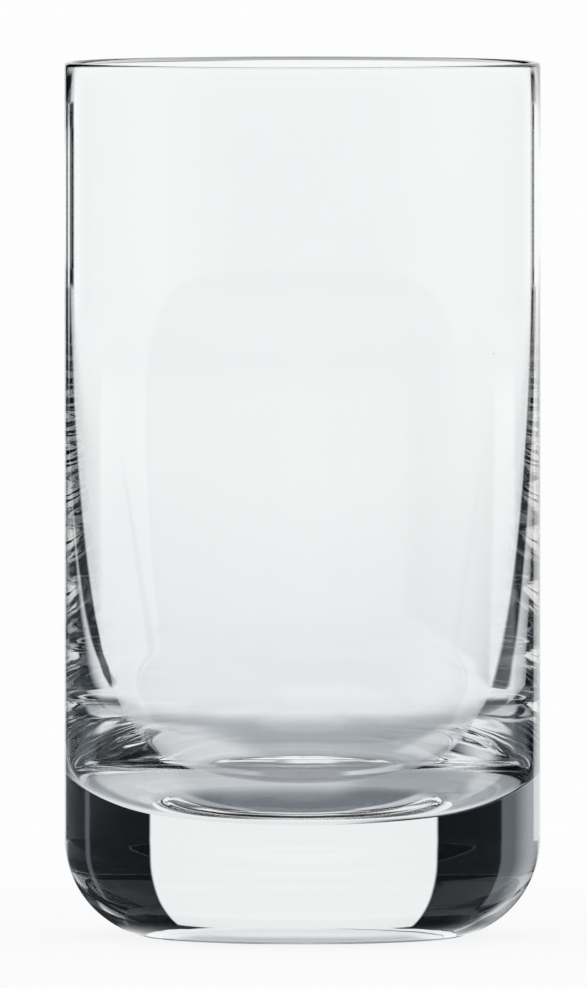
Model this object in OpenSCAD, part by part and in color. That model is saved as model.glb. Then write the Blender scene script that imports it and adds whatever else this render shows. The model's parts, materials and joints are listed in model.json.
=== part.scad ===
// Juice glass: a straight clear tumbler with a heavy base, a round bowl inside and a fire-polished rim.
// Millimetres, +Z up. The origin is on the table, under the middle of the foot.
// The glass is one continuous piece. It is held here as its three formed zones, base, wall and rim,
// which meet face to face on two level planes.

/* [Outside] */
// Diameter of the straight outer wall
outer_d = 64; // [56:0.5:76]
// Height from the table to the top of the rim
height = 117.5; // [104:0.5:150]
// Radius of the rounded heel between the wall and the foot
heel_r = 13.5; // [6:0.5:16]

/* [Wall] */
// Wall thickness at the mouth
wall_t = 1.2; // [0.8:0.1:2.5]
// Wall thickness at the level where the bowl begins
lower_wall_t = 5.8; // [3.5:0.1:9]
// Height over which the wall thickens from the mouth's thickness to the lower one
taper_h = 58.5; // [30:0.5:75]

/* [Bowl] */
// Height of the middle of the cavity floor above the table
floor_z = 15.5; // [10:0.5:24]
// Radius of the bowl's side below the taper
shoulder_r = 34.5; // [20:0.5:60]
// Lean of the bowl's side, in degrees, where its corner begins
shoulder_lean = 25; // [15:1:45]
// Radius of the bowl's corner between its side and the floor
corner_r = 15; // [8:0.5:20]
// Radius of the flatter middle of the floor
crown_r = 80; // [40:1:160]

/* [Foot] */
// Depth of the heel's curve that the table plane cuts away
foot_cut = 0.3; // [0.05:0.05:1]
// Width of the flat ring that stands on the table
foot_w = 1; // [0.5:0.1:6]
// Depth of the shallow hollow inside that ring
punt_depth = 0.8; // [0.2:0.1:3]

/* [Rim] */
// Height of the fire-polished zone at the mouth
rim_h = 3; // [2:0.5:6]

/* [Hidden] */

// Clear glass with a faint cool tint
clear_glass = [0.90, 0.95, 0.95, 0.35];

// Steps of a full turn, of the small arcs and of the long shallow arcs
turn_steps = 160;
arc_steps = 200;
long_arc_steps = 720;

outer_r = outer_d / 2;
bore_r = outer_r - wall_t;

// The taper is an arc that leaves the straight bore upright and leans in by taper_lean at its foot
thickening = lower_wall_t - wall_t;
taper_r = (taper_h * taper_h + thickening * thickening) / (2 * thickening);
taper_lean = 2 * atan(thickening / taper_h);

// The bowl's three arcs, shoulder, corner and crown, run on from each other and from the taper
// without an edge: each centre lies on the line through the last centre and the point where they meet
shoulder_centre_r = outer_r - lower_wall_t - shoulder_r * cos(taper_lean);
corner_centre_r = shoulder_centre_r + (shoulder_r - corner_r) * cos(shoulder_lean);
crown_centre_z = floor_z + crown_r;
corner_drop = sqrt(pow(crown_r - corner_r, 2) - pow(corner_centre_r, 2));
corner_centre_z = crown_centre_z - corner_drop;
shoulder_centre_z = corner_centre_z + (shoulder_r - corner_r) * sin(shoulder_lean);

// Radius of the crown's edge, and the levels at which the other arcs meet, up to the straight bore
crown_edge_r = corner_centre_r * crown_r / (crown_r - corner_r);
corner_z = corner_centre_z - corner_r * sin(shoulder_lean);
wall_z = shoulder_centre_z - shoulder_r * sin(taper_lean);
taper_top = wall_z + taper_h;

// The heel's arc leaves the straight wall at heel_z, and the table plane ends it at foot_r
heel_z = heel_r - foot_cut;
heel_centre_r = outer_r - heel_r;
foot_r = heel_centre_r + sqrt(heel_r * heel_r - heel_z * heel_z);

// The punt is a shallow spherical hollow inside the foot's flat ring
punt_r = foot_r - foot_w;
punt_sphere_r = (punt_r * punt_r + punt_depth * punt_depth) / (2 * punt_depth);

// The rim's top is a full half-round
lip_r = wall_t / 2;
lip_z = height - lip_r;
rim_z = height - rim_h;

// A level band of the half plane, from the axis out to radius r
module band(r, z_low, z_high) {
    translate([0, z_low]) square([r, z_high - z_low]);
}

// The part of a round disc between two levels, on the outer side of the axis
module disc_band(centre_r, centre_z, r, z_low, z_high, steps) {
    intersection() {
        translate([centre_r, centre_z]) circle(r = r, $fn = steps);
        band(centre_r + r, z_low, z_high);
    }
}

// Outline of the solid base without its hollows: straight side, rounded heel and flat foot
module base_outline() {
    band(outer_r, heel_z, wall_z);
    band(heel_centre_r, 0, wall_z);
    disc_band(heel_centre_r, heel_z, heel_r, 0, wall_z, arc_steps);
}

// Outline of the bowl and of the space above it. The corner's disc touches the others from inside, and
// they overlap, so that no seam is left between them
module bowl_outline() {
    intersection() {
        translate([0, crown_centre_z]) circle(r = crown_r, $fn = long_arc_steps);
        band(crown_edge_r, 0, height);
    }
    translate([corner_centre_r, corner_centre_z]) circle(r = corner_r, $fn = arc_steps);
    disc_band(shoulder_centre_r, shoulder_centre_z, shoulder_r, corner_z, height, arc_steps);
}

// Outline of the straight bore and of the taper below it, which runs on past the foot of the wall
module bore_outline() {
    band(bore_r, taper_top, height);
    disc_band(bore_r - taper_r, taper_top, taper_r, 0, height, long_arc_steps);
}

// The heavy base, with the heel outside, the bowl above and the punt below
module base() {
    color(clear_glass)
        rotate_extrude($fn = turn_steps)
            difference() {
                base_outline();
                bowl_outline();
                translate([0, punt_depth - punt_sphere_r]) circle(r = punt_sphere_r, $fn = long_arc_steps);
            }
}

// The side wall, straight outside and thickening downwards inside
module wall() {
    color(clear_glass)
        rotate_extrude($fn = turn_steps)
            difference() {
                band(outer_r, wall_z, rim_z);
                bore_outline();
            }
}

// The fire-polished rim, rounded over its full thickness
module rim() {
    color(clear_glass)
        rotate_extrude($fn = turn_steps) {
            translate([bore_r, rim_z]) square([wall_t, lip_z - rim_z]);
            translate([bore_r + lip_r, lip_z]) circle(r = lip_r, $fn = arc_steps);
        }
}

base();
wall();
rim();
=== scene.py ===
"""Juice glass: one seamless tumbler of clear glass on a pale studio floor, laid out as a Blender add-on."""

import json
import math

import bpy
from bpy.props import FloatProperty, FloatVectorProperty, IntProperty, PointerProperty
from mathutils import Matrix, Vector


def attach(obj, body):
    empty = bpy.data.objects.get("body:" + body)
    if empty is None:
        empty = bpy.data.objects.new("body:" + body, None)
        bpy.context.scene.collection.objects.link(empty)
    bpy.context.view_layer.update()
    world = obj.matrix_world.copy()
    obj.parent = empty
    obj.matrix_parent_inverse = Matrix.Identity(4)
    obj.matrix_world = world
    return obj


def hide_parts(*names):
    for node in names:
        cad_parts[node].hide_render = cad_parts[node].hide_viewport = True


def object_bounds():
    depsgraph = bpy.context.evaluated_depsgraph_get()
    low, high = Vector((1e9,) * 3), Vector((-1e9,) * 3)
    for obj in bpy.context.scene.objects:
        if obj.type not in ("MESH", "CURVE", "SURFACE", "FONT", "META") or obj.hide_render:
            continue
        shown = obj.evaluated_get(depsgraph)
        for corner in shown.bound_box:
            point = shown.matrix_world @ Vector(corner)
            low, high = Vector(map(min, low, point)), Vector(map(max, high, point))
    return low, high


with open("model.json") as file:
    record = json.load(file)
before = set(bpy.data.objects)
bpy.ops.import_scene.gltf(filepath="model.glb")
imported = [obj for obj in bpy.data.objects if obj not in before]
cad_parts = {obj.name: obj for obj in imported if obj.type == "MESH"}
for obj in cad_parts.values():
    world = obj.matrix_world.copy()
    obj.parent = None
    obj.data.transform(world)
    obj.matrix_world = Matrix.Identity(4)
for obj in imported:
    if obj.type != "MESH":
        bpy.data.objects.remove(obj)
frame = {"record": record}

bl_info = {
    "name": "Juice Glass",
    "version": (1, 0, 0),
    "blender": (4, 5, 0),
    "location": "View3D > Sidebar > Juice Glass",
    "description": "Models a straight heavy-based tumbler and the bright-field studio it stands in",
    "category": "Add Mesh",
}

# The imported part's own sizes, in metres
CAD_LOW, CAD_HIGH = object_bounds()
MOUNTS = {mount["name"]: mount for mount in frame["record"]["mounts"]}
MILLIMETRE = 0.001
BORE_RADIUS = MOUNTS["mouth"]["dims"]["r_mm"] * MILLIMETRE
OUTER_RADIUS = MOUNTS["outer_wall"]["dims"]["r_mm"] * MILLIMETRE


# Sizes and colours that a user would change


class TumblerShape(bpy.types.PropertyGroup):
    """Sizes of the tumbler's outline"""

    outer_radius: FloatProperty(
        name="Outer Radius", description="Radius of the straight outer wall",
        default=OUTER_RADIUS, unit="LENGTH", precision=5)
    height: FloatProperty(
        name="Height", description="Height from the table to the top of the rim",
        default=CAD_HIGH.z, unit="LENGTH", precision=5)
    bore_radius: FloatProperty(
        name="Bore Radius", description="Radius of the straight bore below the mouth",
        default=BORE_RADIUS, unit="LENGTH", precision=5)
    lower_wall: FloatProperty(
        name="Lower Wall", description="Wall thickness where the bowl begins",
        default=0.0058, unit="LENGTH", precision=5)
    taper_height: FloatProperty(
        name="Taper Height", description="Height over which the wall thickens",
        default=0.0585, unit="LENGTH", precision=5)
    shoulder_radius: FloatProperty(
        name="Shoulder Radius", description="Radius of the bowl's side below the taper",
        default=0.0345, unit="LENGTH", precision=5)
    shoulder_lean: FloatProperty(
        name="Shoulder Lean", description="Lean of the bowl's side where its corner begins",
        default=math.radians(25), unit="ROTATION")
    corner_radius: FloatProperty(
        name="Corner Radius", description="Radius of the bowl's corner between its side and the floor",
        default=0.015, unit="LENGTH", precision=5)
    crown_radius: FloatProperty(
        name="Crown Radius", description="Radius of the flatter middle of the cavity floor",
        default=0.080, unit="LENGTH", precision=5)
    floor_height: FloatProperty(
        name="Floor Height", description="Height of the middle of the cavity floor above the table",
        default=0.0155, unit="LENGTH", precision=5)
    heel_radius: FloatProperty(
        name="Heel Radius", description="Radius of the rounded heel",
        default=0.0135, unit="LENGTH", precision=5)
    foot_cut: FloatProperty(
        name="Foot Cut", description="Depth of the heel's curve that the table plane cuts away",
        default=0.0003, unit="LENGTH", precision=5)
    foot_width: FloatProperty(
        name="Foot Width", description="Width of the flat ring that stands on the table",
        default=0.0010, unit="LENGTH", precision=5)
    punt_depth: FloatProperty(
        name="Punt Depth", description="Depth of the shallow hollow inside the foot ring",
        default=0.0008, unit="LENGTH", precision=5)
    segments: IntProperty(
        name="Segments", description="Steps of a full turn", default=384, min=32)


class GlassFinish(bpy.types.PropertyGroup):
    """Finish of the glass"""

    tint: FloatVectorProperty(
        name="Tint", description="Colour of the clear glass", subtype="COLOR", size=3,
        default=(0.996, 0.999, 0.999), min=0.0, max=1.0)
    deep_tint: FloatVectorProperty(
        name="Deep Tint", description="Colour of specks, and of smears in a small share", subtype="COLOR",
        size=3, default=(0.30, 0.34, 0.35), min=0.0, max=1.0)
    bend: FloatProperty(
        name="Index of Refraction", description="How strongly the glass bends light",
        default=1.52, min=1.0)
    ripple_height: FloatProperty(
        name="Ripple Height", description="Height of the ripples that forming leaves inside the bowl",
        default=0.00003, unit="LENGTH", precision=6)
    ripple_top: FloatProperty(
        name="Ripple Top", description="Height above the table where the ripples have died out",
        default=0.055, unit="LENGTH")
    ripple_scale: FloatProperty(
        name="Ripple Scale", description="Ripples in a metre", default=180.0, min=0.0)
    wave_scale: FloatProperty(
        name="Wave Scale", description="Faint waves in a metre", default=60.0, min=0.0)
    wave_share: FloatProperty(
        name="Wave Share", description="Height of the faint waves against the ripples",
        default=0.01, min=0.0)
    speck_scale: FloatProperty(
        name="Speck Scale", description="Places for specks in a metre", default=60.0, min=0.0)
    speck_radius: FloatProperty(
        name="Speck Radius", description="Radius of a speck", default=0.00022, unit="LENGTH", precision=5)
    speck_roughness: FloatProperty(
        name="Speck Roughness", description="Roughness of a speck", default=0.3, min=0.0, max=1.0)
    smear_scale: FloatProperty(
        name="Smear Scale", description="Wiped smears in a metre", default=35.0, min=0.0)
    smear_roughness: FloatProperty(
        name="Smear Roughness", description="Roughness of a wiped smear", default=0.006, min=0.0, max=1.0)
    smear_tint: FloatProperty(
        name="Smear Tint", description="Share of the deep tint in a wiped smear", default=0.006, min=0.0)


class StudioSet(bpy.types.PropertyGroup):
    """Camera, floor and light"""

    camera_distance: FloatProperty(
        name="Camera Distance", description="Distance from the camera to the glass's axis",
        default=3.5, unit="LENGTH")
    camera_height: FloatProperty(
        name="Camera Height", description="Height of the camera above the table",
        default=0.20, unit="LENGTH")
    frame_height: FloatProperty(
        name="Frame Height", description="Height of the picture at the glass",
        default=0.1328, unit="LENGTH")
    aim_height: FloatProperty(
        name="Aim Height", description="Height of the picture's middle at the glass's axis",
        default=0.0594, unit="LENGTH", precision=4)
    aim_side: FloatProperty(
        name="Aim Side", description="Sideways place of the picture's middle",
        default=-0.0012, unit="LENGTH", precision=4)
    floor_radius: FloatProperty(
        name="Floor Radius", description="Radius of the pale floor",
        default=5.2, unit="LENGTH")
    floor_drop: FloatProperty(
        name="Floor Drop", description="How far the floor lies below the foot, so that they don't coincide",
        default=0.00005, unit="LENGTH", precision=5)
    floor_colour: FloatVectorProperty(
        name="Floor Colour", description="Colour of the pale floor", subtype="COLOR", size=3,
        default=(0.95, 0.95, 0.95), min=0.0, max=1.0)
    shade_colour: FloatVectorProperty(
        name="Shade Colour", description="Colour of the studio's darkest parts", subtype="COLOR", size=3,
        default=(0.64, 0.82, 1.0), min=0.0, max=1.0)
    white_level: FloatProperty(
        name="White Level", description="Level of the white background", default=0.985, min=0.0)
    room_light: FloatProperty(
        name="Room Light", description="Level of the even light on the floor", default=0.9, min=0.0)
    shadow_share: FloatProperty(
        name="Shadow Share", description="How much of the shadow the floor keeps",
        default=0.12, min=0.0, max=1.0)
    shadow_radius: FloatProperty(
        name="Shadow Radius", description="Distance at which the floor's shadow has died out",
        default=0.27, unit="LENGTH")
    lamp_height: FloatProperty(
        name="Lamp Height", description="Height of the soft overhead lamp", default=0.9, unit="LENGTH")
    lamp_size: FloatProperty(
        name="Lamp Size", description="Diameter of the soft overhead lamp", default=0.7, unit="LENGTH")
    lamp_power: FloatProperty(
        name="Lamp Power", description="Power of the soft overhead lamp", default=0.5, unit="POWER")


# Shared modelling steps


def deselect_all():
    """Leave edit mode with nothing selected, because operators act on all that is selected."""
    if bpy.context.object and bpy.context.object.mode != "OBJECT":
        bpy.ops.object.mode_set(mode="OBJECT")
    bpy.ops.object.select_all(action="DESELECT")


def arc(centre, radius, start_angle, end_angle, steps):
    """Points of (radius, height) on a round stretch, from one angle to another."""
    points = []
    for step in range(steps + 1):
        angle = start_angle + (end_angle - start_angle) * step / steps
        points.append((centre[0] + radius * math.cos(angle), centre[1] + radius * math.sin(angle)))
    return points


def straight(start, end, steps):
    """Points of (radius, height) on a straight stretch."""
    points = []
    for step in range(steps + 1):
        share = step / steps
        points.append((start[0] + (end[0] - start[0]) * share, start[1] + (end[1] - start[1]) * share))
    return points


def joined(*stretches):
    """One outline out of stretches that meet end to end."""
    points = list(stretches[0])
    for stretch in stretches[1:]:
        points.extend(stretch[1:])
    return points


# Steps of the outline's stretches, from the punt round the outside to the cavity floor
PUNT_STEPS = 24
FOOT_STEPS = 6
HEEL_STEPS = 48
SIDE_STEPS = 8
LIP_STEPS = 24
BORE_STEPS = 4
TAPER_STEPS = 36
SHOULDER_STEPS = 24
CORNER_STEPS = 40
CROWN_STEPS = 32


def tumbler_outline(shape):
    """Half section of the glass as (radius, height), in the order of its steps above."""
    outer = shape.outer_radius
    bore = shape.bore_radius
    lip_radius = (outer - bore) / 2
    lip_z = shape.height - lip_radius

    thickening = bore - (outer - shape.lower_wall)
    taper_radius = (shape.taper_height ** 2 + thickening ** 2) / (2 * thickening)
    taper_lean = 2 * math.atan(thickening / shape.taper_height)
    # The bowl's three arcs run on from each other and from the taper without a corner
    shoulder = shape.shoulder_radius
    shoulder_lean = shape.shoulder_lean
    corner = shape.corner_radius
    crown = shape.crown_radius
    crown_z = shape.floor_height + crown
    shoulder_centre = outer - shape.lower_wall - shoulder * math.cos(taper_lean)
    corner_centre = shoulder_centre + (shoulder - corner) * math.cos(shoulder_lean)
    corner_z = crown_z - math.sqrt((crown - corner) ** 2 - corner_centre ** 2)
    shoulder_z = corner_z + (shoulder - corner) * math.sin(shoulder_lean)
    crown_angle = -math.acos(corner_centre / (crown - corner))
    taper_top = shoulder_z - shoulder * math.sin(taper_lean) + shape.taper_height

    heel_z = shape.heel_radius - shape.foot_cut
    heel_centre = outer - shape.heel_radius
    foot_radius = heel_centre + math.sqrt(shape.heel_radius ** 2 - heel_z ** 2)
    foot_angle = -math.acos((foot_radius - heel_centre) / shape.heel_radius)
    punt_edge = foot_radius - shape.foot_width
    punt_radius = (punt_edge ** 2 + shape.punt_depth ** 2) / (2 * shape.punt_depth)
    punt_centre_z = shape.punt_depth - punt_radius
    punt_angle = math.acos(punt_edge / punt_radius)

    quarter = math.pi / 2
    return joined(
        arc((0, punt_centre_z), punt_radius, quarter, punt_angle, PUNT_STEPS),
        straight((punt_edge, 0), (foot_radius, 0), FOOT_STEPS),
        arc((heel_centre, heel_z), shape.heel_radius, foot_angle, 0, HEEL_STEPS),
        straight((outer, heel_z), (outer, lip_z), SIDE_STEPS),
        arc((outer - lip_radius, lip_z), lip_radius, 0, math.pi, LIP_STEPS),
        straight((bore, lip_z), (bore, taper_top), BORE_STEPS),
        arc((bore - taper_radius, taper_top), taper_radius, 0, -taper_lean, TAPER_STEPS),
        arc((shoulder_centre, shoulder_z), shoulder, -taper_lean, -shoulder_lean, SHOULDER_STEPS),
        arc((corner_centre, corner_z), corner, -shoulder_lean, crown_angle, CORNER_STEPS),
        arc((0, crown_z), crown, crown_angle, -quarter, CROWN_STEPS),
    )


def spin_outline(name, outline, segments):
    """A closed piece: one vertex is extruded along the outline, and the line is spun round the axis."""
    merge_distance = 1e-7
    deselect_all()
    bpy.ops.mesh.primitive_plane_add(size=MILLIMETRE, location=(0, 0, 0))
    piece = bpy.context.object
    piece.name = name
    piece.data.name = name
    bpy.ops.object.mode_set(mode="EDIT")
    bpy.ops.mesh.select_all(action="SELECT")
    bpy.ops.mesh.merge(type="CENTER")
    bpy.ops.transform.translate(value=(outline[0][0], 0, outline[0][1]))
    for (radius, height), (next_radius, next_height) in zip(outline, outline[1:]):
        step = (next_radius - radius, 0, next_height - height)
        bpy.ops.mesh.extrude_region_move(TRANSFORM_OT_translate={"value": step})
    bpy.ops.mesh.select_all(action="SELECT")
    bpy.ops.mesh.spin(steps=segments, angle=math.tau, center=(0, 0, 0), axis=(0, 0, 1))
    bpy.ops.mesh.select_all(action="SELECT")
    bpy.ops.mesh.remove_doubles(threshold=merge_distance)
    bpy.ops.mesh.normals_make_consistent(inside=False)
    bpy.ops.object.mode_set(mode="OBJECT")
    bpy.ops.object.shade_smooth()
    return piece


# Shared node building


def new_node(tree, kind, **settings):
    """A node with its settings, and default values for the inputs that are named in inputs."""
    node = tree.nodes.new(kind)
    inputs = settings.pop("inputs", {})
    for name, value in settings.items():
        setattr(node, name, value)
    for socket, value in inputs.items():
        node.inputs[socket].default_value = value
    return node


def maths(tree, operation, first, second=0.0, third=0.0):
    """A Math node's value; each operand is a number or a socket."""
    node = tree.nodes.new("ShaderNodeMath")
    node.operation = operation
    for socket, operand in zip(node.inputs, (first, second, third)):
        if isinstance(operand, bpy.types.NodeSocket):
            tree.links.new(operand, socket)
        else:
            socket.default_value = operand
    return node.outputs[0]


def smooth_step(tree, value, low, high):
    """A value that eases from 0 at low to 1 at high."""
    node = new_node(tree, "ShaderNodeMapRange", interpolation_type="SMOOTHSTEP")
    for socket, operand in (("Value", value), ("From Min", low), ("From Max", high)):
        if isinstance(operand, bpy.types.NodeSocket):
            tree.links.new(operand, node.inputs[socket])
        else:
            node.inputs[socket].default_value = operand
    return node.outputs["Result"]


def studio_panel_group():
    """Node group: how much of one studio panel is seen in a direction of the room."""
    tree = bpy.data.node_groups.new("Studio Panel", "ShaderNodeTree")
    names = ("Turn", "Rise", "Centre", "Half Width", "Side Edge", "Bottom", "Top", "Level Edge", "Level")
    for name in names:
        tree.interface.new_socket(name, in_out="INPUT", socket_type="NodeSocketFloat")
    tree.interface.new_socket("Light", in_out="OUTPUT", socket_type="NodeSocketFloat")
    given = tree.nodes.new("NodeGroupInput").outputs
    result = tree.nodes.new("NodeGroupOutput").inputs
    half_turn = 180.0
    aside = maths(tree, "SUBTRACT", given["Turn"], given["Centre"])
    aside = maths(tree, "ABSOLUTE", maths(tree, "WRAP", aside, half_turn, -half_turn))

    def edge(value, at, softness):
        low = maths(tree, "SUBTRACT", at, softness)
        return smooth_step(tree, value, low, maths(tree, "ADD", at, softness))

    outside = edge(aside, given["Half Width"], given["Side Edge"])
    above = edge(given["Rise"], given["Bottom"], given["Level Edge"])
    over = edge(given["Rise"], given["Top"], given["Level Edge"])
    seen = maths(tree, "MULTIPLY", above, maths(tree, "SUBTRACT", 1.0, over))
    seen = maths(tree, "MULTIPLY", seen, maths(tree, "SUBTRACT", 1.0, outside))
    tree.links.new(maths(tree, "MULTIPLY", seen, given["Level"]), result["Light"])
    return tree


def cool_shade_group(studio):
    """Node group: the colour of a light level, white when full and cooler the darker it is."""
    tree = bpy.data.node_groups.new("Cool Shade", "ShaderNodeTree")
    tree.interface.new_socket("Level", in_out="INPUT", socket_type="NodeSocketFloat")
    tree.interface.new_socket("Color", in_out="OUTPUT", socket_type="NodeSocketColor")
    given = tree.nodes.new("NodeGroupInput").outputs
    result = tree.nodes.new("NodeGroupOutput").inputs
    fullness = maths(tree, "SQRT", given["Level"])
    mix = new_node(tree, "ShaderNodeMix", data_type="RGBA")
    colour_a, colour_b = (socket for socket in mix.inputs if socket.type == "RGBA")
    colour_a.default_value = (*studio.shade_colour, 1.0)
    colour_b.default_value = (1.0, 1.0, 1.0, 1.0)
    tree.links.new(fullness, mix.inputs["Factor"])
    mixed = next(socket for socket in mix.outputs if socket.type == "RGBA")
    tree.links.new(mixed, result["Color"])
    return tree


# Panels of the studio as they are seen through the glass: centre, half width and softness round the room,
# lower and upper edge and softness above the horizon, all in degrees, and the light level. 0 is behind
# the glass, and the left is positive.
PANELS = (
    ("window", -2.25, 27.25, 0.4, -12, 34, 0.8, 0.935),
    ("left wall", 78, 31.5, 0.8, -12, 27, 3, 0.15),
    ("left box", 80, 20, 16, -12, 27, 3, 0.70),
    ("left high", 115, 50, 10, 24, 50, 3, 0.90),
    ("front high", 172, 26, 12, 26, 60, 4, 0.90),
    ("front low", 180, 40, 15, -12, 26, 4, 0.10),
    ("right high", -125, 35, 10, 36, 52, 4, 0.90),
    ("right low", -93, 10, 8, -3, 8, 4, 0.13),
    ("right slit", -56, 1.5, 1, -12, 25, 2, 0.12),
    ("overhead", 0, 180, 4, 74, 90, 4, 1.00),
)
# Panels that the outer surface mirrors
MIRRORED = (
    ("back", -7, 21, 2, -60, 60, 2, 1.00),
    ("left glint", 23, 2.2, 0.6, -2.05, -1.2, 0.15, 1.00),
    ("upper sides", 180, 146, 1.5, -2.05, 60, 0.25, 1.00),
    ("middle sides", 185, 121, 3, -2.85, -2, 0.1, 1.00),
    ("low left", 70, 24, 4, -25, -2.8, 0.1, 0.12),
    ("low right", -88, 22, 4, -25, -2.8, 0.1, 0.05),
    ("overhead", 0, 180, 6, 62, 90, 6, 1.00),
)
DARK_ROOM = 0.006


def studio_world(studio, cool_shade):
    """World that is white to the camera, even to the floor, and a studio of panels to the glass."""
    world = bpy.data.worlds.new("Bright field studio")
    bpy.context.scene.world = world
    world.use_nodes = True
    tree = world.node_tree
    tree.nodes.clear()
    direction = tree.nodes.new("ShaderNodeTexCoord").outputs["Generated"]
    split = tree.nodes.new("ShaderNodeSeparateXYZ")
    tree.links.new(direction, split.inputs[0])
    to_left = maths(tree, "MULTIPLY", split.outputs["X"], -1.0)
    turn = maths(tree, "DEGREES", maths(tree, "ARCTAN2", to_left, split.outputs["Y"]))
    rise = maths(tree, "DEGREES", maths(tree, "ARCSINE", split.outputs["Z"]))

    panel_tree = studio_panel_group()

    def lit_panels(panels):
        seen = None
        for label, centre, half_width, side_edge, bottom, top, level_edge, level in panels:
            panel = new_node(tree, "ShaderNodeGroup", node_tree=panel_tree, label=label, inputs={
                "Centre": centre, "Half Width": half_width, "Side Edge": side_edge,
                "Bottom": bottom, "Top": top, "Level Edge": level_edge, "Level": level})
            tree.links.new(turn, panel.inputs["Turn"])
            tree.links.new(rise, panel.inputs["Rise"])
            light = panel.outputs["Light"]
            seen = light if seen is None else maths(tree, "MAXIMUM", seen, light)
        return maths(tree, "ADD", seen, DARK_ROOM)

    seen_through = lit_panels(PANELS)
    mirrored = lit_panels(MIRRORED)

    path = tree.nodes.new("ShaderNodeLightPath").outputs
    # A ray that left the glass by bending counts as glossy too, so what is mirrored is the rest
    bounced = maths(tree, "SUBTRACT", path["Is Glossy Ray"], path["Is Transmission Ray"])
    bounced = maths(tree, "MAXIMUM", bounced, 0.0)
    kinds = (
        (path["Is Camera Ray"], studio.white_level),
        (path["Is Diffuse Ray"], studio.room_light),
        (path["Is Transmission Ray"], seen_through),
        (bounced, mirrored),
    )
    strength = 0.0
    for kind, level in kinds:
        strength = maths(tree, "ADD", strength, maths(tree, "MULTIPLY", kind, level))
    background = tree.nodes.new("ShaderNodeBackground")
    shade = new_node(tree, "ShaderNodeGroup", node_tree=cool_shade)
    tree.links.new(strength, shade.inputs["Level"])
    tree.links.new(shade.outputs["Color"], background.inputs["Color"])
    tree.links.new(strength, background.inputs["Strength"])
    output = tree.nodes.new("ShaderNodeOutputWorld")
    tree.links.new(background.outputs[0], output.inputs["Surface"])


# Detail of the noise in the ripples, the waves and the smears, the noise levels between which a smear sets
# in, and the share of a speck's radius that is fully dark
RIPPLE_DETAIL = 1.0
WAVE_DETAIL = 0.0
SMEAR_DETAIL = 2.0
SMEAR_LEVELS = (0.5, 0.7)
SPECK_CORE = 0.5


def clear_glass(finish, shape):
    """Clear polished glass: forming ripples inside the bowl, a trace of tint and a few specks."""
    material = bpy.data.materials.new("Clear glass")
    material.use_nodes = True
    tree = material.node_tree
    tree.nodes.clear()
    place = tree.nodes.new("ShaderNodeTexCoord").outputs["Object"]
    split = tree.nodes.new("ShaderNodeSeparateXYZ")
    tree.links.new(place, split.inputs[0])
    across = tree.nodes.new("ShaderNodeCombineXYZ")
    tree.links.new(split.outputs["X"], across.inputs["X"])
    tree.links.new(split.outputs["Y"], across.inputs["Y"])
    length = new_node(tree, "ShaderNodeVectorMath", operation="LENGTH")
    tree.links.new(across.outputs[0], length.inputs[0])
    radius = length.outputs["Value"]

    def noise(scale, detail):
        node = new_node(tree, "ShaderNodeTexNoise", inputs={"Scale": scale, "Detail": detail})
        tree.links.new(place, node.inputs["Vector"])
        return node.outputs["Fac"]

    # The plunger leaves ripples on the inner surface, strongest at the bowl's corner
    inner_low = shape.outer_radius - shape.lower_wall / 2
    inside = smooth_step(tree, radius, shape.bore_radius, inner_low)
    low_down = smooth_step(tree, split.outputs["Z"], finish.ripple_top, shape.floor_height)
    ripples = maths(tree, "MULTIPLY", noise(finish.ripple_scale, RIPPLE_DETAIL), inside)
    ripples = maths(tree, "MULTIPLY", ripples, low_down)
    # Very faint waves run all over the surface
    waves = maths(tree, "MULTIPLY", noise(finish.wave_scale, WAVE_DETAIL), finish.wave_share)
    bump = new_node(tree, "ShaderNodeBump", inputs={"Strength": 1.0, "Distance": finish.ripple_height})
    tree.links.new(maths(tree, "ADD", ripples, waves), bump.inputs["Height"])

    cells = new_node(tree, "ShaderNodeTexVoronoi", inputs={"Scale": finish.speck_scale})
    tree.links.new(place, cells.inputs["Vector"])
    speck_edge = finish.speck_radius * finish.speck_scale
    speck = smooth_step(tree, cells.outputs["Distance"], speck_edge, SPECK_CORE * speck_edge)
    smear = smooth_step(tree, noise(finish.smear_scale, SMEAR_DETAIL), *SMEAR_LEVELS)
    tint = new_node(tree, "ShaderNodeMix", data_type="RGBA")
    plain, deeper = (socket for socket in tint.inputs if socket.type == "RGBA")
    plain.default_value = (*finish.tint, 1.0)
    deeper.default_value = (*finish.deep_tint, 1.0)
    tree.links.new(maths(tree, "MAXIMUM", speck, maths(tree, "MULTIPLY", smear, finish.smear_tint)),
                   tint.inputs["Factor"])
    rough = maths(tree, "MULTIPLY", smear, finish.smear_roughness)
    rough = maths(tree, "MULTIPLY_ADD", speck, finish.speck_roughness, rough)

    shader = new_node(tree, "ShaderNodeBsdfPrincipled", inputs={
        "IOR": finish.bend, "Transmission Weight": 1.0})
    tinted = next(socket for socket in tint.outputs if socket.type == "RGBA")
    tree.links.new(tinted, shader.inputs["Base Color"])
    tree.links.new(rough, shader.inputs["Roughness"])
    tree.links.new(bump.outputs["Normal"], shader.inputs["Normal"])
    output = tree.nodes.new("ShaderNodeOutputMaterial")
    tree.links.new(shader.outputs[0], output.inputs["Surface"])
    return material


# Painted light of the table as the glass shows it: a painted shadow dim under the foot, painted shade round
# the heel, pale further out.
# Each step is the radius where it begins and ends, and the light that it adds.
TABLE_SHADOW_UNDER_FOOT = 0.22
TABLE_STEPS = (
    (0.019, 0.025, 0.20),
    (0.043, 0.068, 0.43),
    (0.090, 0.500, 0.09),
)
# Zones of the table by radius and by turn, each as begins, full, fades and ends. Turns are in degrees from
# behind the glass, to the side that is named by its sign, left positive.
NO_END = (180, 181)
FAR_OFF = (8.0, 9.0)
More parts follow.
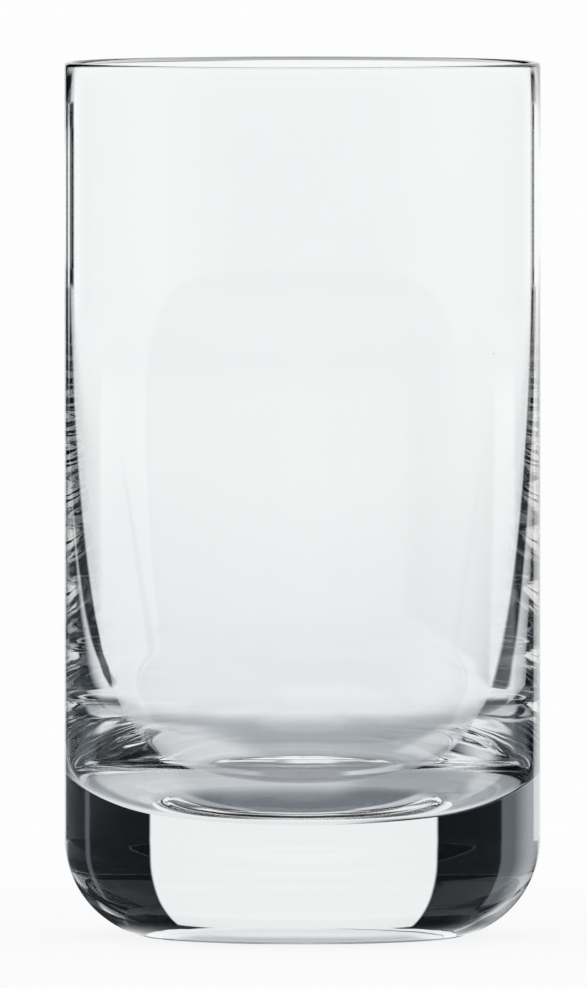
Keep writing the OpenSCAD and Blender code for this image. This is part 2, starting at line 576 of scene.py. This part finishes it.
# Painted glows of light under and round the foot, each after the light that it adds
PAINTED_GLOWS = (
    (0.28, 1, (0.016, 0.024, 0.040, 0.048), (12, 30, 100, 140)),
    (0.20, -1, (0.026, 0.030, 0.040, 0.046), (36, 44, 62, 80)),
    (0.20, 1, (0.014, 0.022, 0.032, 0.040), (110, 140, *NO_END)),
    (0.20, -1, (0.014, 0.022, 0.032, 0.040), (140, 165, *NO_END)),
    (0.25, 1, (0.006, 0.009, 0.019, 0.023), (62, 75, 98, 108)),
    (0.45, -1, (0.006, 0.009, 0.019, 0.023), (62, 75, 98, 108)),
)
# Zones of painted shade that are dim to rays which haven't crossed the bore
DIM_SHADE_LEVEL = 0.55
DIM_SHADE_ZONES = (
    (1, (0.10, 0.25, *FAR_OFF), (62, 85, *NO_END)),
    (-1, (0.10, 0.25, *FAR_OFF), (62, 85, *NO_END)),
    (1, (0.50, 1.20, *FAR_OFF), (32, 50, *NO_END)),
    (-1, (0.50, 1.20, *FAR_OFF), (32, 50, *NO_END)),
)
# The far table in front, which the inner surfaces mirror, is painted dimmer to all rays, as painted shade
FRONT_SHADE_LEVEL = 0.50
FRONT_SHADE_ZONES = (
    (1, (0.80, 1.20, *FAR_OFF), (95, 150, *NO_END)),
    (-1, (0.80, 1.20, *FAR_OFF), (95, 150, *NO_END)),
)
# Zones of painted shade that are dark to rays which haven't crossed the bore
DARK_SHADE_LEVEL = 0.02
DARK_SHADE_ZONES = (
    (1, (0.046, 0.050, 0.068, 0.078), (44, 48, 54, 58)),
    (-1, (0.046, 0.050, 0.068, 0.078), (44, 50, 122, 132)),
    (-1, (0.072, 0.080, 0.300, 0.600), (68, 74, 122, 132)),
    (1, (0.074, 0.080, 0.100, 0.130), (92, 100, *NO_END)),
    (1, (0.046, 0.052, 0.100, 0.130), (116, 126, *NO_END)),
    (-1, (0.046, 0.052, 0.100, 0.130), (116, 126, *NO_END)),
    (1, (1.30, 1.50, *FAR_OFF), (21, 23, 29, 31)),
    (-1, (1.30, 1.50, *FAR_OFF), (23, 24.5, 27, 28.5)),
    (1, (1.30, 1.50, 3.80, 4.00), (11, 12.5, 16, 17.5)),
)
# Strips of painted shade that run back from beside the glass: side, distance from the axis and its drift to
# the side with depth, half width and its widening with depth, least half width. Then the shares of the half
# width between which a strip's edge fades, and the radii where the strips begin, are full, fade and end.
SHADE_STRIPS = (
    (1, (0.0445, 0.0), (0.027, 0.0), 0.027),
    (1, (0.0796, 0.195), (-0.006, 0.18), 0.004),
    (-1, (0.0606, 0.412), (0.0075, 0.085), 0.0075),
)
STRIP_EDGES = (0.75, 1.42)
STRIP_RADII = (0.055, 0.065, 1.30, 1.50)
# The outer surface mirrors the table as a painted reflection: bright behind the glass and near the foot,
# with painted shade beside it and a painted contact shadow where the foot meets the table
MIRRORED_TURNS = (18, 34)
MIRRORED_RADII = (0.0225, 0.0265)
MIRRORED_SHADE_BESIDE = 0.04
CONTACT_SHADOW_RADII = (0.0222, 0.0216)
CONTACT_SHADOW_LEVEL = 0.15
# A ray that has bent at this many surfaces or more has crossed the bore. It sees no dim or dark zone of the
# table, and no strip. Neither does a ray that comes down steeply on the open table, nor one that leaves the
# glass near the mouth on a slope that isn't flat. Slopes are in degrees; each pair is where a rule begins
# and where it is full.
BORE_SURFACES = 4
STEEP_RAYS = (23.8, 24.5)
OPEN_TABLE = (0.066, 0.078)
MOUTH_HEIGHTS = (0.080, 0.086)
MOUTH_RAYS = (8, 9)
# The lip at the back sees the table in painted shade, so that it draws a thin dark line along the mouth
LIP_HEIGHTS = (0.1167, 0.1172)
LIP_SHADE_LEVEL = 0.20
# Slopes in degrees between which a ray out of the glass stops meeting the near and the far table, where
# the far table begins, and the share of the floor's radius where it begins to fade
FLAT_RAYS = (3.45, 3.20)
FLATTEST_RAYS = (1.25, 1.10)
NEAR_TABLE = (1.0, 1.2)
FLOOR_FADE = 0.95
# Blend at which a Layer Weight's facing is one less the plain cosine, and the share of the shadow's radius
# within which the floor keeps it whole
EVEN_BLEND = 0.5
SHADOW_CORE = 0.3


def table_light(tree, place, away, bounced, dark_seen, by_lip):
    """The table's painted light level, as the glass shows it, at a place on the table, with painted shadow,
    glows and shade.

    The masks say which rays mirror it, which see its dim and dark zones, and which come from the lip.
    """
    split = tree.nodes.new("ShaderNodeSeparateXYZ")
    tree.links.new(place, split.inputs[0])
    to_left = maths(tree, "MULTIPLY", split.outputs["X"], -1.0)
    behind = split.outputs["Y"]
    turn = maths(tree, "DEGREES", maths(tree, "ARCTAN2", to_left, behind))

    def within(value, limits):
        begins, full, fades, ends = limits
        rising = smooth_step(tree, value, begins, full)
        return maths(tree, "MULTIPLY", rising, smooth_step(tree, value, ends, fades))

    def zone_mask(side, radii, turns):
        side_turn = maths(tree, "MULTIPLY", turn, side)
        return maths(tree, "MULTIPLY", within(away, radii), within(side_turn, turns))

    def strongest(masks):
        whole = masks[0]
        for mask in masks[1:]:
            whole = maths(tree, "MAXIMUM", whole, mask)
        return whole

    def towards(level, target, mask):
        return maths(tree, "MULTIPLY_ADD", maths(tree, "SUBTRACT", target, level), mask, level)

    # Painted shadow under the foot, which lightens in steps further out
    level = TABLE_SHADOW_UNDER_FOOT
    for begins, ends, added in TABLE_STEPS:
        level = maths(tree, "MULTIPLY_ADD", smooth_step(tree, away, begins, ends), added, level)
    # Painted glows of light round the foot
    for added, *zone in PAINTED_GLOWS:
        level = maths(tree, "MULTIPLY_ADD", zone_mask(*zone), added, level)
    # Painted shade in the dim zones
    dim = strongest([zone_mask(*zone) for zone in DIM_SHADE_ZONES])
    level = towards(level, DIM_SHADE_LEVEL, maths(tree, "MULTIPLY", dim, dark_seen))
    # Painted shade on the far table in front
    level = towards(level, FRONT_SHADE_LEVEL, strongest([zone_mask(*zone) for zone in FRONT_SHADE_ZONES]))

    # Painted shade in the dark zones, and below in the strips
    painted_shade = [zone_mask(*zone) for zone in DARK_SHADE_ZONES]
    depth = maths(tree, "MAXIMUM", behind, 0.0)
    on_strips = maths(tree, "MULTIPLY", maths(tree, "GREATER_THAN", behind, 0.0), within(away, STRIP_RADII))

    # Strips of painted shade behind and beside the glass
    for side, (start, drift), (half, widening), least in SHADE_STRIPS:
        line = maths(tree, "MULTIPLY_ADD", depth, drift, start)
        to_side = maths(tree, "MULTIPLY", to_left, side)
        aside = maths(tree, "ABSOLUTE", maths(tree, "SUBTRACT", to_side, line))
        half_width = maths(tree, "MAXIMUM", maths(tree, "MULTIPLY_ADD", depth, widening, half), least)
        share = maths(tree, "DIVIDE", aside, half_width)
        strip = smooth_step(tree, share, STRIP_EDGES[1], STRIP_EDGES[0])
        painted_shade.append(maths(tree, "MULTIPLY", strip, on_strips))
    level = towards(level, DARK_SHADE_LEVEL, maths(tree, "MULTIPLY", strongest(painted_shade), dark_seen))
    # Painted shade that the lip sees
    level = towards(level, LIP_SHADE_LEVEL, by_lip)

    # Painted reflection of the table: painted shade beside the glass and a painted contact shadow at the
    # foot
    beside = smooth_step(tree, maths(tree, "ABSOLUTE", turn), *MIRRORED_TURNS)
    beside = maths(tree, "MULTIPLY", beside, smooth_step(tree, away, *MIRRORED_RADII))
    mirrored = towards(1.0, MIRRORED_SHADE_BESIDE, beside)
    mirrored = towards(mirrored, CONTACT_SHADOW_LEVEL, smooth_step(tree, away, *CONTACT_SHADOW_RADII))
    return towards(level, mirrored, bounced)


def pale_floor(studio, cool_shade):
    """Pale floor that keeps a faint shadow near the glass and fades to the white around it. To rays from
    the glass it glows with a table's painted light and shade.
    """
    material = bpy.data.materials.new("Pale floor")
    material.use_nodes = True
    tree = material.node_tree
    tree.nodes.clear()
    place = tree.nodes.new("ShaderNodeTexCoord").outputs["Object"]
    length = new_node(tree, "ShaderNodeVectorMath", operation="LENGTH")
    tree.links.new(place, length.inputs[0])
    away = length.outputs["Value"]

    path = tree.nodes.new("ShaderNodeLightPath").outputs
    from_glass = maths(tree, "MAXIMUM", path["Is Glossy Ray"], path["Is Transmission Ray"])
    bounced = maths(tree, "SUBTRACT", from_glass, path["Is Transmission Ray"])
    slant = new_node(tree, "ShaderNodeLayerWeight", inputs={"Blend": EVEN_BLEND}).outputs["Facing"]

    def flatter_than(angles):
        return smooth_step(tree, slant, *(1 - math.sin(math.radians(angle)) for angle in angles))

    solid = maths(tree, "LESS_THAN", path["Transmission Depth"], BORE_SURFACES)
    steep = maths(tree, "SUBTRACT", 1.0, flatter_than(reversed(STEEP_RAYS)))
    steep = maths(tree, "MULTIPLY", steep, smooth_step(tree, away, *OPEN_TABLE))
    left_at = maths(tree, "MULTIPLY", path["Ray Length"], maths(tree, "SUBTRACT", 1.0, slant))
    slanted = maths(tree, "SUBTRACT", 1.0, flatter_than(reversed(MOUTH_RAYS)))
    by_mouth = maths(tree, "MULTIPLY", slanted, smooth_step(tree, left_at, *MOUTH_HEIGHTS))
    by_lip = maths(tree, "MULTIPLY", slanted, smooth_step(tree, left_at, *LIP_HEIGHTS))
    by_lip = maths(tree, "MULTIPLY", by_lip, solid)
    lit_seen = maths(tree, "MAXIMUM", steep, by_mouth)
    dark_seen = maths(tree, "MULTIPLY", solid, maths(tree, "SUBTRACT", 1.0, lit_seen))
    # To rays from the glass the floor glows with a table's painted light and shade; to the camera it is
    # evenly white
    painted_table = table_light(tree, place, away, bounced, dark_seen, by_lip)
    beyond = maths(tree, "SUBTRACT", painted_table, studio.white_level)
    level = maths(tree, "MULTIPLY_ADD", beyond, from_glass, studio.white_level)
    shade = new_node(tree, "ShaderNodeGroup", node_tree=cool_shade)
    tree.links.new(level, shade.inputs["Level"])
    glow = tree.nodes.new("ShaderNodeEmission")
    tree.links.new(shade.outputs["Color"], glow.inputs["Color"])
    tree.links.new(level, glow.inputs["Strength"])

    matt = new_node(tree, "ShaderNodeBsdfDiffuse", inputs={"Color": (*studio.floor_colour, 1.0)})
    near = smooth_step(tree, away, studio.shadow_radius, SHADOW_CORE * studio.shadow_radius)
    straight_seen = maths(tree, "SUBTRACT", 1.0, from_glass)
    shadow = maths(tree, "MULTIPLY", maths(tree, "MULTIPLY", near, straight_seen), studio.shadow_share)
    pale = tree.nodes.new("ShaderNodeMixShader")
    tree.links.new(shadow, pale.inputs[0])
    tree.links.new(glow.outputs[0], pale.inputs[1])
    tree.links.new(matt.outputs[0], pale.inputs[2])

    # Flat rays out of the glass pass over the near table, and the flattest over the far table too, to the
    # panels that stand round it
    fade = smooth_step(tree, away, FLOOR_FADE * studio.floor_radius, studio.floor_radius)
    far = maths(tree, "MULTIPLY", smooth_step(tree, away, *NEAR_TABLE), path["Is Transmission Ray"])
    over_near = maths(tree, "MULTIPLY", flatter_than(FLAT_RAYS), maths(tree, "SUBTRACT", 1.0, far))
    flat = maths(tree, "MAXIMUM", over_near, flatter_than(FLATTEST_RAYS))
    fade = maths(tree, "MAXIMUM", fade, maths(tree, "MULTIPLY", flat, from_glass))
    clear = tree.nodes.new("ShaderNodeBsdfTransparent")
    mix = tree.nodes.new("ShaderNodeMixShader")
    tree.links.new(fade, mix.inputs[0])
    tree.links.new(pale.outputs[0], mix.inputs[1])
    tree.links.new(clear.outputs[0], mix.inputs[2])
    output = tree.nodes.new("ShaderNodeOutputMaterial")
    tree.links.new(mix.outputs[0], output.inputs["Surface"])
    return material


# Operators, one for the piece and one for the stage

FLOOR_CORNERS = 128
CAMERA_REACH = 100.0
LIGHT_BOUNCES = 32


class JUICEGLASS_OT_add_tumbler(bpy.types.Operator):
    """Spin the tumbler's outline into one closed piece of clear glass"""

    bl_idname = "juiceglass.add_tumbler"
    bl_label = "Add Tumbler"

    def execute(self, context):
        shape = context.scene.tumbler_shape
        tumbler = spin_outline("tumbler", tumbler_outline(shape), shape.segments)
        tumbler.data.materials.append(clear_glass(context.scene.glass_finish, shape))
        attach(tumbler, "root")
        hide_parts("base", "wall", "rim")
        return {"FINISHED"}


class JUICEGLASS_OT_add_stage(bpy.types.Operator):
    """Add the pale floor, the studio light and the camera"""

    bl_idname = "juiceglass.add_stage"
    bl_label = "Add Stage"

    def execute(self, context):
        studio = context.scene.studio_set
        cool_shade = cool_shade_group(studio)
        studio_world(studio, cool_shade)

        deselect_all()
        bpy.ops.mesh.primitive_circle_add(
            vertices=FLOOR_CORNERS, radius=studio.floor_radius, fill_type="NGON")
        floor = context.object
        floor.name = "floor"
        floor.location.z = -studio.floor_drop
        floor.data.materials.append(pale_floor(studio, cool_shade))

        deselect_all()
        bpy.ops.object.light_add(type="AREA", location=(0, 0, studio.lamp_height))
        lamp = context.object
        lamp.name = "overhead_lamp"
        lamp.data.shape = "DISK"
        lamp.data.size = studio.lamp_size
        lamp.data.energy = studio.lamp_power

        aim = Vector((studio.aim_side, 0, studio.aim_height))
        place = Vector((studio.aim_side, -studio.camera_distance, studio.camera_height))
        sight = aim - place
        deselect_all()
        bpy.ops.object.camera_add(location=place, rotation=sight.to_track_quat("-Z", "Y").to_euler())
        camera = context.object
        camera.name = "camera"
        camera.data.sensor_fit = "AUTO"
        camera.data.lens = camera.data.sensor_width * sight.length / studio.frame_height
        camera.data.clip_end = CAMERA_REACH
        context.scene.camera = camera

        context.scene.view_settings.view_transform = "Standard"
        context.scene.cycles.max_bounces = LIGHT_BOUNCES
        context.scene.cycles.glossy_bounces = LIGHT_BOUNCES
        context.scene.cycles.transmission_bounces = LIGHT_BOUNCES
        return {"FINISHED"}


class JUICEGLASS_PT_sidebar(bpy.types.Panel):
    """Lists the sizes, the finish, the studio and the steps"""

    bl_label = "Juice Glass"
    bl_idname = "JUICEGLASS_PT_sidebar"
    bl_space_type = "VIEW_3D"
    bl_region_type = "UI"
    bl_category = "Juice Glass"

    def draw(self, context):
        for group in (context.scene.tumbler_shape, context.scene.glass_finish, context.scene.studio_set):
            box = self.layout.box()
            for name in group.__annotations__:
                box.prop(group, name)
        self.layout.operator(JUICEGLASS_OT_add_tumbler.bl_idname)
        self.layout.operator(JUICEGLASS_OT_add_stage.bl_idname)


CLASSES = (
    TumblerShape,
    GlassFinish,
    StudioSet,
    JUICEGLASS_OT_add_tumbler,
    JUICEGLASS_OT_add_stage,
    JUICEGLASS_PT_sidebar,
)


def register():
    for cls in CLASSES:
        bpy.utils.register_class(cls)
    bpy.types.Scene.tumbler_shape = PointerProperty(type=TumblerShape)
    bpy.types.Scene.glass_finish = PointerProperty(type=GlassFinish)
    bpy.types.Scene.studio_set = PointerProperty(type=StudioSet)


def unregister():
    del bpy.types.Scene.studio_set
    del bpy.types.Scene.glass_finish
    del bpy.types.Scene.tumbler_shape
    for cls in reversed(CLASSES):
        bpy.utils.unregister_class(cls)


def main():
    register()
    bpy.ops.juiceglass.add_tumbler()
    bpy.ops.juiceglass.add_stage()


if __name__ == "__main__":
    main()
